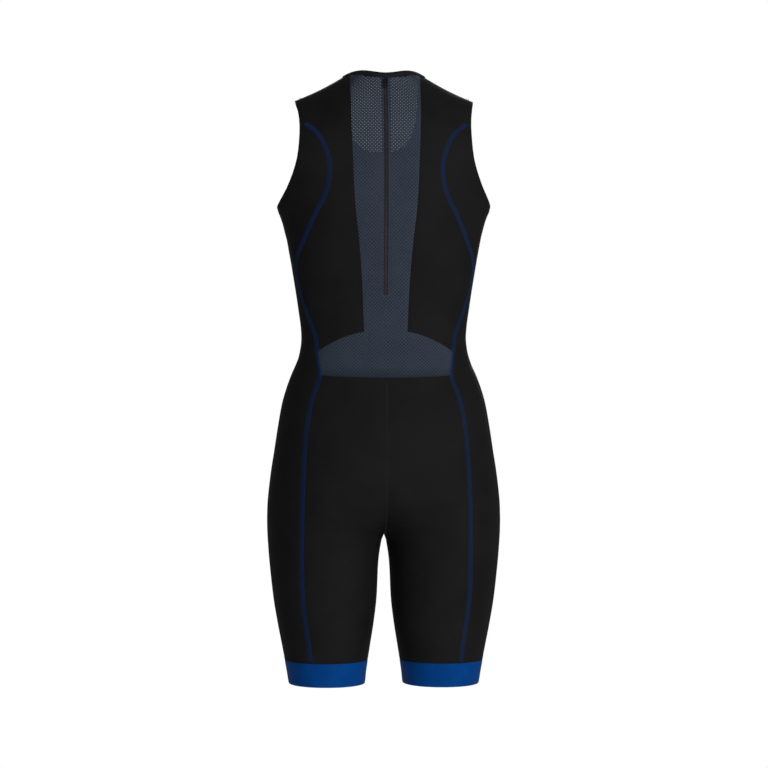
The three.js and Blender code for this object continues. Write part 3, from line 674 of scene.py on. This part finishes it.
class Nodes:
    """Short calls for building one material's nodes."""

    def __init__(self, name):
        self.material = bpy.data.materials.new(name)
        self.material.use_nodes = True
        self.tree = self.material.node_tree
        self.shader = self.tree.nodes["Principled BSDF"]

    def link(self, source, target):
        self.tree.links.new(source, target)

    def put(self, value, target):
        if hasattr(value, "is_output"):
            self.link(value, target)
        else:
            target.default_value = value

    def math(self, operation, first, second=0.0, third=0.0):
        node = self.tree.nodes.new("ShaderNodeMath")
        node.operation = operation
        for value, target in zip((first, second, third), node.inputs):
            self.put(value, target)
        return node.outputs[0]

    def weave_axes(self):
        """How far across and down the cloth a point is, in millimetres."""
        node = self.tree.nodes.new("ShaderNodeUVMap")
        node.uv_map = "weave"
        parts = self.tree.nodes.new("ShaderNodeSeparateXYZ")
        self.link(node.outputs["UV"], parts.inputs[0])
        across = self.math("MULTIPLY", parts.outputs["X"], 1 / METRES)
        down = self.math("MULTIPLY", parts.outputs["Y"], 1 / METRES)
        return across, down

    def height(self):
        """How high a point is in the shared frame, in millimetres."""
        node = self.tree.nodes.new("ShaderNodeTexCoord")
        parts = self.tree.nodes.new("ShaderNodeSeparateXYZ")
        self.link(node.outputs["Object"], parts.inputs[0])
        return self.math("MULTIPLY", parts.outputs["Z"], 1 / METRES)

    def attribute(self, name):
        node = self.tree.nodes.new("ShaderNodeAttribute")
        node.attribute_name = name
        return node.outputs["Fac"]

    def wave(self, distance, pitch, shift=0.0):
        """A cosine from -1 to 1 that repeats each pitch."""
        turn = self.math("MULTIPLY_ADD", distance, 2 * math.pi / pitch, shift)
        return self.math("COSINE", turn)

    def noise(self, size, detail=3.0, stretch=None):
        """Soft noise from 0 to 1, whose patches are about a size in metres."""
        where = self.tree.nodes.new("ShaderNodeTexCoord")
        node = self.tree.nodes.new("ShaderNodeTexNoise")
        node.inputs["Scale"].default_value = 1 / size
        node.inputs["Detail"].default_value = detail
        source = where.outputs["Object"]
        if stretch:
            turn = self.tree.nodes.new("ShaderNodeMapping")
            turn.inputs["Scale"].default_value = stretch
            self.link(source, turn.inputs["Vector"])
            source = turn.outputs[0]
        self.link(source, node.inputs["Vector"])
        return node.outputs["Fac"]

    def between(self, value, low, high, out_low, out_high):
        node = self.tree.nodes.new("ShaderNodeMapRange")
        for number, target in zip((value, low, high, out_low, out_high), node.inputs):
            self.put(number, target)
        return node.outputs[0]

    def blend(self, share, first, second):
        node = self.tree.nodes.new("ShaderNodeMix")
        node.data_type = "RGBA"
        self.put(share, node.inputs[0])
        self.put(first, node.inputs[6])
        self.put(second, node.inputs[7])
        return node.outputs[2]

    def bump(self, height, distance, strength=1.0):
        node = self.tree.nodes.new("ShaderNodeBump")
        node.inputs["Strength"].default_value = strength
        node.inputs["Distance"].default_value = distance
        self.put(height, node.inputs["Height"])
        self.link(node.outputs[0], self.shader.inputs["Normal"])


MESH_PITCH = 5.3
YOKE_SHADE_FROM = -412.0
YOKE_SHADE_TO = -428.0


def black_knit():
    """Smooth stretch knit with fine upright ribs, slightly uneven in tone."""
    n = Nodes("black_knit")
    across, down = n.weave_axes()
    wale = n.wave(across, 0.9)
    course = n.wave(down, 0.65)
    loops = n.math("MULTIPLY_ADD", course, 0.35, wale)
    patches = n.noise(0.05)
    fibres = n.noise(0.0015, 2.0)
    tone = n.math("MULTIPLY_ADD", fibres, 0.35, patches)
    n.link(n.blend(n.between(tone, 0.4, 0.95, 0, 1), linear(23, 23, 23), linear(29, 29, 29)),
           n.shader.inputs["Base Color"])
    n.link(n.between(patches, 0.3, 0.7, 0.5, 0.64), n.shader.inputs["Roughness"])
    socket(n.shader, "Specular IOR Level", 0.03)
    n.bump(n.math("ADD", loops, fibres), 0.00006, 0.55)
    return n.material


def back_mesh():
    """Open knit: small holes in staggered rows between crossing yarns. The wall's inner face
    is an opener net, so that each hole of the outer face can be seen through. The yarn is
    painted darker round each hole as painted shade and lighter at its crossings as a painted
    highlight, and the foot of the yoke is painted darker toward the waist seam as painted shade."""
    n = Nodes("back_mesh")
    across, down = n.weave_axes()
    lattice = n.math("MULTIPLY", n.wave(across, MESH_PITCH), n.wave(down, MESH_PITCH))
    hole = n.between(lattice, 0.76, 0.9, 0, 0.29)
    wide_hole = n.between(lattice, 0.1, 0.3, 0, 1)
    opening = n.math("MULTIPLY_ADD", n.attribute("inside"), n.math("SUBTRACT", wide_hole, hole), hole)
    near = n.between(lattice, 0.0, 0.75, 0, 1)
    crossing_highlight = n.between(lattice, -0.9, -0.2, 1, 0)
    patches = n.noise(0.04)
    fibres = n.noise(0.0012, 2.0)
    yarn = n.blend(n.between(fibres, 0.3, 0.7, 0, 1), linear(45, 52, 63), linear(56, 65, 78))
    # Painted shade: the yarn is darkened in a ring round each hole, following the near mask.
    shaded = n.blend(n.math("MULTIPLY", near, 0.46), yarn, linear(22, 25, 31))
    # Painted highlight: the raised yarn crossings between the holes are painted lighter.
    raised = n.blend(n.math("MULTIPLY", crossing_highlight, 0.12), shaded, linear(84, 94, 110))
    uneven = n.blend(n.between(patches, 0.35, 0.7, 0, 0.14), raised, linear(68, 78, 92))
    # Painted shade: the mesh darkens over the last 16 mm above the waist seam, at the foot of the yoke.
    yoke_foot_shade = n.between(n.height(), YOKE_SHADE_FROM, YOKE_SHADE_TO, 0, 0.5)
    n.link(n.blend(yoke_foot_shade, uneven, linear(22, 25, 31)), n.shader.inputs["Base Color"])
    n.link(n.math("SUBTRACT", 1.0, opening), n.shader.inputs["Alpha"])
    socket(n.shader, "Roughness", 0.62)
    socket(n.shader, "Specular IOR Level", 0.03)
    n.bump(n.math("SUBTRACT", fibres, near), 0.0003, 0.8)
    return n.material


def blue_band():
    """Shiny elastic with close upright ribs, painted darker in the troughs between them as painted shade."""
    n = Nodes("blue_band")
    across, down = n.weave_axes()
    ribs = n.wave(across, 1.5)
    rows = n.wave(down, 1.1)
    patches = n.noise(0.03)
    # Painted shade: the blue is darker in the troughs between the ribs.
    rib_shade = n.between(ribs, -1, 1, 0, 1)
    rib_shaded_blue = n.blend(rib_shade, linear(0, 49, 106), linear(3, 68, 143))
    n.link(n.blend(n.between(patches, 0.35, 0.7, 0, 0.25), rib_shaded_blue, linear(8, 82, 162)),
           n.shader.inputs["Base Color"])
    n.link(n.between(patches, 0.3, 0.7, 0.36, 0.5), n.shader.inputs["Roughness"])
    socket(n.shader, "Specular IOR Level", 0.03)
    n.bump(n.math("MULTIPLY_ADD", rows, 0.3, ribs), 0.00012, 0.7)
    return n.material


def plain_knit(name, dark, light, roughness, pitch):
    """A close rib for the neck binding and the zip's tape."""
    n = Nodes(name)
    across, down = n.weave_axes()
    ribs = n.math("MULTIPLY", n.wave(across, pitch), n.wave(down, pitch))
    fibres = n.noise(0.001, 2.0)
    n.link(n.blend(n.between(fibres, 0.3, 0.7, 0, 1), dark, light), n.shader.inputs["Base Color"])
    n.link(n.between(fibres, 0.3, 0.7, roughness - 0.06, roughness + 0.06), n.shader.inputs["Roughness"])
    socket(n.shader, "Specular IOR Level", 0.1)
    n.bump(n.math("ADD", ribs, fibres), 0.0001, 0.6)
    return n.material


def thread(name, dark, light, roughness=0.5):
    """Twisted sewing thread, painted darker between its plies as painted shade."""
    n = Nodes(name)
    plies = n.noise(0.0006, 1.0, (1.0, 1.0, 2.5))
    # Painted shade: the colour is darker where the plies sink, between them.
    n.link(n.blend(n.between(plies, 0.35, 0.65, 0, 1), dark, light), n.shader.inputs["Base Color"])
    n.link(n.between(plies, 0.3, 0.7, roughness - 0.08, roughness + 0.1), n.shader.inputs["Roughness"])
    socket(n.shader, "Specular IOR Level", 0.15)
    n.bump(plies, 0.00005, 0.6)
    return n.material


def zip_coil():
    """Nylon coil, brownish in the lower half where it has been rubbed."""
    n = Nodes("zip")
    low = n.between(n.height(), -120, -230, 0, 1)
    fibres = n.noise(0.002, 2.0)
    cool = n.blend(fibres, linear(28, 31, 39), linear(41, 45, 54))
    warm = n.blend(fibres, linear(54, 47, 50), linear(72, 63, 67))
    n.link(n.blend(low, cool, warm), n.shader.inputs["Base Color"])
    n.link(n.between(fibres, 0.3, 0.7, 0.34, 0.5), n.shader.inputs["Roughness"])
    n.bump(fibres, 0.00004, 0.5)
    return n.material


def zip_metal():
    """Dark coated metal, a little lighter and smoother where it is handled."""
    n = Nodes("zip_metal")
    wear = n.noise(0.003, 4.0)
    n.link(n.blend(n.between(wear, 0.45, 0.75, 0, 1), linear(26, 28, 33), linear(66, 68, 74)),
           n.shader.inputs["Base Color"])
    n.link(n.between(wear, 0.3, 0.75, 0.42, 0.26), n.shader.inputs["Roughness"])
    socket(n.shader, "Metallic", 0.8)
    n.bump(n.noise(0.0008, 2.0), 0.00003, 0.4)
    return n.material


def paint(obj, material):
    obj.data.materials.clear()
    obj.data.materials.append(material)


def line_frame(line, side):
    """Points, outward directions and sideways directions along a line, at 0.5 mm steps.
    Down a seam of the back, sideways is away from the centre, and on the front toward it."""
    points = place(line[:, 0], line[:, 1])
    steps = np.linalg.norm(np.diff(points, axis=0), axis=1)
    lengths = np.concatenate([[0], np.cumsum(steps)])
    wanted = np.arange(0, lengths[-1], 0.5)
    fine = np.stack([np.interp(wanted, lengths, line[:, k]) for k in (0, 1)], axis=-1)
    point, normal = place(fine[:, 0], fine[:, 1]), facing(fine[:, 0], fine[:, 1])
    point[:, 0] *= side
    normal[:, 0] *= side
    point -= normal * crease_depths(point)[:, None]
    along = unit(np.gradient(point, axis=0))
    aside = unit(np.cross(normal, along)) * side
    return {"length": wanted, "point": point, "normal": normal, "aside": aside}


def beside(line, length):
    """A line of spots moved square to its own run by a length along the cloth."""
    angle, down = line[:, 0], line[:, 1]
    turn = 0.002
    step = 0.4
    per_turn = (place(angle + turn, down) - place(angle - turn, down)) / (2 * turn)
    per_step = (place(angle, down + step) - place(angle, down - step)) / (2 * step)
    along = unit(np.gradient(place(angle, down), axis=0))
    aside = unit(np.cross(unit(np.cross(per_turn, per_step)), along)) * length
    a, b, c = ((u * v).sum(axis=1) for u, v in ((per_turn, per_turn), (per_turn, per_step), (per_step, per_step)))
    p, q = (per_turn * aside).sum(axis=1), (per_step * aside).sum(axis=1)
    span = a * c - b * b
    return line + np.stack([(c * p - b * q) / span, (a * q - b * p) / span], axis=-1)


def on_line(run, length, aside, lift):
    """Points by a line: how far along it, how far aside and how high above the cloth."""
    def at(name):
        return np.stack([np.interp(length, run["length"], run[name][:, k]) for k in range(3)], axis=-1)
    return at("point") + at("aside") * aside + at("normal") * lift


def strands(name, starts, middles, ends, radius):
    """One mesh of many short round threads, each with a pointed end and a full middle."""
    run = unit(ends - starts)
    lean = unit(np.cross(run, np.array([0.31, 0.83, 0.46])))
    other = np.cross(run, lean)
    rings = []
    for centre, size in ((mix(starts, middles, 0.35), 0.85), (middles, 1.0), (mix(ends, middles, 0.35), 0.85)):
        for k in range(4):
            turn = math.pi * k / 2
            rings.append(centre + (lean * math.cos(turn) + other * math.sin(turn)) * radius * size)
    points = np.stack([starts, *rings, ends], axis=1).reshape(-1, 3)
    pattern = []
    for k in range(4):
        k2 = (k + 1) % 4
        pattern.append([0, 1 + k2, 1 + k])
        pattern += [[1 + 4 * r + k, 1 + 4 * r + k2, 5 + 4 * r + k2, 5 + 4 * r + k] for r in range(2)]
        pattern.append([9 + k, 9 + k2, 13])
    faces = [[14 * i + v for v in face] for i in range(len(starts)) for face in pattern]
    return new_object(name, points, faces)


STITCH_PITCH = 2.4
THREAD_RADIUS = 0.24
SEAM_HALF = 3.6
ARM_HEM_DROP = 6.0
CROTCH = 692.0
TOOTH_PITCH = 1.5
TOOTH_RADIUS = 0.42
ZIP_LEAN = -0.9


def stitch_row(line, side, aside=0.0, lift=0.0, pitch=STITCH_PITCH, trim=1.0):
    """A row of short stitches along a line of spots, sunk into the cloth at their ends."""
    run = line_frame(beside(line, aside), side)
    at = np.arange(trim, run["length"][-1] - trim - pitch, pitch)
    gap = 0.12 * pitch
    start = on_line(run, at + gap, 0, lift - 0.15)
    middle = on_line(run, at + pitch / 2, 0, lift + 0.2)
    end = on_line(run, at + pitch - gap, 0, lift - 0.15)
    return [(start, middle, end)]


def flat_seam(line, side, half, pitch=STITCH_PITCH):
    """A flat seam: a row of stitches at each side and threads that cross between them."""
    run = line_frame(line, side)
    at = np.arange(1.0, run["length"][-1] - 1.0 - pitch, pitch)
    rows = stitch_row(line, side, -half, pitch=pitch) + stitch_row(line, side, half, pitch=pitch)
    for begin, turn in ((0.0, 1), (0.5, -1)):
        start = on_line(run, at + begin * pitch, -half * turn, 0.0)
        middle = on_line(run, at + (begin + 0.25) * pitch, 0, 0.28)
        end = on_line(run, at + (begin + 0.5) * pitch, half * turn, 0.0)
        rows.append((start, middle, end))
    return rows


def sew(name, rows, material, radius=THREAD_RADIUS):
    starts, middles, ends = (np.concatenate([row[k] for row in rows]) for k in range(3))
    obj = strands(name, starts, middles, ends, radius)
    paint(obj, material)
    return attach(obj, "suit")


def add_cloth(node, grids, thickness, material, lift=0.0, seam_dip=0.3):
    """A piece of cloth that stands for its solid."""
    obj = cloth(f"{node}_cloth", grids, thickness, lift, seam_dip)
    paint(obj, material)
    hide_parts(node)
    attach(obj, "suit")
    return obj


def round_binding(grid):
    """The neck binding is full in the middle and turns down at its two edges."""
    share = np.linspace(-1, 1, grid.shape[0])[:, None]
    return np.broadcast_to(0.1 + 0.75 * np.sqrt(1 - (0.96 * share) ** 2), grid.shape[:2])


def rounded_band(grid):
    """A band of elastic, slightly thicker than the cloth and eased at both edges."""
    share = np.linspace(-1, 1, grid.shape[0])[:, None]
    return np.broadcast_to(0.5 - 0.35 * share ** 8, grid.shape[:2])


CLOTH_WALL = 0.9
BAND_WALL = 1.3
BINDING_WALL = 1.6
TAPE_WALL = 1.2

knit, mesh_cloth, band = black_knit(), back_mesh(), blue_band()
binding_knit = plain_knit("binding", linear(15, 17, 21), linear(30, 33, 39), 0.6, 0.8)
tape_knit = plain_knit("zip_tape_knit", linear(24, 27, 33), linear(38, 42, 50), 0.6, 0.7)

add_cloth("back_mesh_panel", both(back_mesh_grids), CLOTH_WALL, mesh_cloth)
add_cloth("front_panel", both(front_panel_grids), CLOTH_WALL, knit)
for side_name, sign in SIDES.items():
    add_cloth(f"back_panel_{side_name}", [(back_panel_grid(), sign, math.pi / 2)], CLOTH_WALL, knit)
    add_cloth(f"side_panel_{side_name}", side_panel_grids(sign), CLOTH_WALL, knit)
    for sheet_name, start_angle in (("back", math.pi / 2), ("front", -math.pi / 2)):
        add_cloth(f"shorts_{sheet_name}_{side_name}", [(shorts_grid(sheet_name), sign, start_angle)],
                  CLOTH_WALL, knit)
    add_cloth(f"hem_band_{side_name}", [(hem_band_grid(), sign, 0.0)], BAND_WALL, band,
              rounded_band, 0.0)
add_cloth("neck_binding", both(binding_grids), BINDING_WALL, binding_knit,
          round_binding, 0.0)
add_cloth("zip_tape", both(lambda: [(zip_grid(), math.pi / 2)]), TAPE_WALL, tape_knit,
          zip_lift, 0.0)


def level_line(x0, x1, down, sheet):
    return spots(np.linspace(x0, x1, 200), down, sheet)


def side_seam_rows(side):
    rows = []
    for sheet in ("back", "front"):
        rows += flat_seam(side_seam(np.linspace(SEAM_TOP + ARM_HEM_DROP, BAND_TOP, 800), sheet), side, SEAM_HALF)
    return rows


def mesh_seam_rows(side):
    """Two rows on the black panels beside the mesh, and two on the shorts below the yoke."""
    edge = mesh_edge(np.linspace(NECK_DOWN + BINDING_HEIGHT + 4, MESH_FOOT, 400))
    arch = arch_line(200)
    waist = waist_line(np.linspace(0, float(read(SIDE_SEAMS, "back", np.array(WAIST))), 200))
    rows = []
    for near in (1.5, 4.5):
        rows += stitch_row(edge, side, near, trim=3.0)
        rows += stitch_row(arch, side, near, trim=3.0)
        rows += stitch_row(waist, side, -near - 1.0)
    return rows


def front_waist_rows(side):
    line = level_line(0, float(read(SIDE_SEAMS, "front", np.array(WAIST))), WAIST, "front")
    return stitch_row(line, side, 1.5) + stitch_row(line, side, 4.5)


def armhole_rows(side):
    """The turned edge of the armhole is held by two close rows."""
    rows = []
    downs = np.linspace(SHOULDER_DOWN, UNDERARM, 500)
    for sheet, turn in (("back", -1), ("front", 1)):
        for near in (7.5, 10.0):
            rows += stitch_row(armhole(downs, sheet), side, turn * near, trim=0.5)
    return rows


def leg_rows(side):
    """The inseam and two rows on the black above the hem band."""
    inseam_downs = np.linspace(CROTCH + 3, BAND_TOP - 1, 400)
    inseam = np.stack([np.full(400, math.pi), inseam_downs], axis=-1)
    turns = np.linspace(0, 2 * math.pi, 600)
    band_line = np.stack([turns, np.full(600, BAND_TOP)], axis=-1)
    rows = flat_seam(inseam, side, 2.0)
    for near in (-1.6, -4.2):
        rows += stitch_row(band_line, side, near, trim=0.0)
    return rows


def centre_rows(sheet):
    top = WAIST + (WAIST_DIP if sheet == "back" else 0) + 7
    return flat_seam(spots(0.0, np.linspace(top, CROTCH - 1, 400), sheet), 1, 2.0)


def binding_rows(side):
    rows = []
    for sheet, shares in (("back", np.linspace(0.012, 0.5, 300)), ("front", np.linspace(0.5, 1, 600))):
        line = resampled(neck_spots(shares, BINDING_HEIGHT - 1.2, sheet), 400)
        rows += stitch_row(line, side, lift=0.72, trim=0.2)
    return rows


def zip_rows(side):
    """The mesh is stitched down beside the zip, and across its foot."""
    downs = np.linspace(NECK_DOWN + PANEL_NECK + 1, ZIP_FOOT + 2, 300)
    rows = stitch_row(spots(SLIT_HALF + 0.1, downs, "back"), side, pitch=1.6)
    for down in (ZIP_FOOT - 1.5, ZIP_FOOT, ZIP_FOOT + 1.5):
        rows += stitch_row(spots(np.linspace(0, SLIT_HALF + 1.8, 30), down, "back"), side, lift=0.3, trim=0.0)
    return rows


def add_teeth():
    """Coil teeth from both sides that meet in turn at the middle of the zip."""
    line = spots(0.0, np.linspace(NECK_DOWN + PANEL_NECK + 1, ZIP_FOOT - 2, 400), "back")
    run = line_frame(line, 1)
    at = np.arange(0.5, run["length"][-1] - TOOTH_PITCH, TOOTH_PITCH)
    rows = []
    for turn, shift in ((1, 0.0), (-1, TOOTH_PITCH / 2)):
        start = on_line(run, at + shift, 2.1 * turn + ZIP_LEAN, 0.35)
        middle = on_line(run, at + shift, 0.75 * turn + ZIP_LEAN, 1.0)
        end = on_line(run, at + shift, -0.5 * turn + ZIP_LEAN, 0.75)
        rows.append((start, middle, end))
    sew("zip_teeth", rows, zip_coil(), TOOTH_RADIUS)


def add_metal(node, body):
    """The slider and its tab keep their solids' form, with their edges eased."""
    work = bmesh.new()
    work.from_mesh(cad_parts[node].data)
    bmesh.ops.remove_doubles(work, verts=work.verts, dist=1e-6)
    bmesh.ops.dissolve_limit(work, angle_limit=math.radians(1), verts=work.verts, edges=work.edges)
    mesh = bpy.data.meshes.new(f"{node}_metal")
    work.to_mesh(mesh)
    work.free()
    obj = bpy.data.objects.new(f"{node}_metal", mesh)
    bpy.context.scene.collection.objects.link(obj)
    bevel = obj.modifiers.new("eased edges", "BEVEL")
    bevel.width = 0.22 * METRES
    bevel.segments = 2
    bevel.limit_method = "ANGLE"
    bevel.angle_limit = math.radians(35)
    paint(obj, metal)
    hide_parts(node)
    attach(obj, body)


metal = zip_metal()
blue = thread("blue_thread", linear(10, 38, 80), linear(26, 66, 128))
pale = thread("zip_thread", linear(74, 76, 86), linear(104, 107, 118))
dark = thread("dark_thread", linear(12, 13, 15), linear(34, 36, 41))
grey = thread("grey_thread", linear(30, 31, 33), linear(50, 52, 55))

for side_name, sign in SIDES.items():
    sew(f"side_seams_{side_name}", side_seam_rows(sign), blue)
    sew(f"mesh_seams_{side_name}", mesh_seam_rows(sign), dark)
    sew(f"armhole_seam_{side_name}", armhole_rows(sign), dark)
    sew(f"leg_seams_{side_name}", leg_rows(sign), dark)
    sew(f"front_waist_seam_{side_name}", front_waist_rows(sign), dark)
    sew(f"binding_seam_{side_name}", binding_rows(sign), dark, 0.2)
    sew(f"zip_seam_{side_name}", zip_rows(sign), pale, 0.32)
sew("centre_seams", centre_rows("back") + centre_rows("front"), grey)
add_teeth()
add_metal("zip_slider", "suit")
add_metal("zip_pull", "pull")


def look_along(obj, target):
    obj.rotation_euler = (Vector(target) - obj.location).to_track_quat("-Z", "Y").to_euler()


def add_camera():
    """A long lens a good way behind the suit, level and a little toward the wearer's left."""
    data = bpy.data.cameras.new("camera")
    data.lens = 115.9
    data.sensor_width = 36
    data.clip_end = 100
    camera = bpy.data.objects.new("camera", data)
    bpy.context.scene.collection.objects.link(camera)
    camera.location = (-0.17, -3.7, -0.438)
    look_along(camera, (0.0005, 0, -0.4378))
    bpy.context.scene.camera = camera


def add_light(name, location, target, size, power):
    data = bpy.data.lights.new(name, "AREA")
    data.size = size
    data.energy = power
    light = bpy.data.objects.new(name, data)
    bpy.context.scene.collection.objects.link(light)
    light.location = location
    look_along(light, target)


def add_world():
    """White to the camera, and a softer white as light."""
    world = bpy.data.worlds.new("studio")
    bpy.context.scene.world = world
    world.use_nodes = True
    tree = world.node_tree
    backdrop = tree.nodes["Background"]
    backdrop.inputs["Color"].default_value = (1, 1, 1, 1)
    ambient = tree.nodes.new("ShaderNodeBackground")
    ambient.inputs["Color"].default_value = (1, 1, 1, 1)
    ambient.inputs["Strength"].default_value = 0.22
    rays = tree.nodes.new("ShaderNodeLightPath")
    choice = tree.nodes.new("ShaderNodeMixShader")
    tree.links.new(rays.outputs["Is Camera Ray"], choice.inputs[0])
    tree.links.new(ambient.outputs[0], choice.inputs[1])
    tree.links.new(backdrop.outputs[0], choice.inputs[2])
    tree.links.new(choice.outputs[0], tree.nodes["World Output"].inputs["Surface"])


def add_floor():
    """A pale round floor well below the hems."""
    turns = np.linspace(0, 2 * math.pi, 97)[:-1]
    ring = np.stack([1500 * np.cos(turns), 1500 * np.sin(turns), np.full(96, -1380.0)], axis=-1)
    floor = new_object("floor", ring, [list(range(96))])
    n = Nodes("floor_paint")
    n.link(n.blend(n.noise(0.4), linear(236, 236, 236), linear(246, 246, 246)), n.shader.inputs["Base Color"])
    floor.data.materials.append(n.material)


add_camera()
add_world()
add_floor()
add_light("key", (1.9, -2.8, 0.3), (0, 0, -0.45), 1.8, 66)
add_light("fill", (0.1, -3.4, -0.3), (0, 0, -0.45), 2.2, 22)
add_light("front", (0.5, 3.2, 0.8), (0, 0, -0.45), 2.0, 30)
bpy.context.scene.view_settings.view_transform = "Standard"
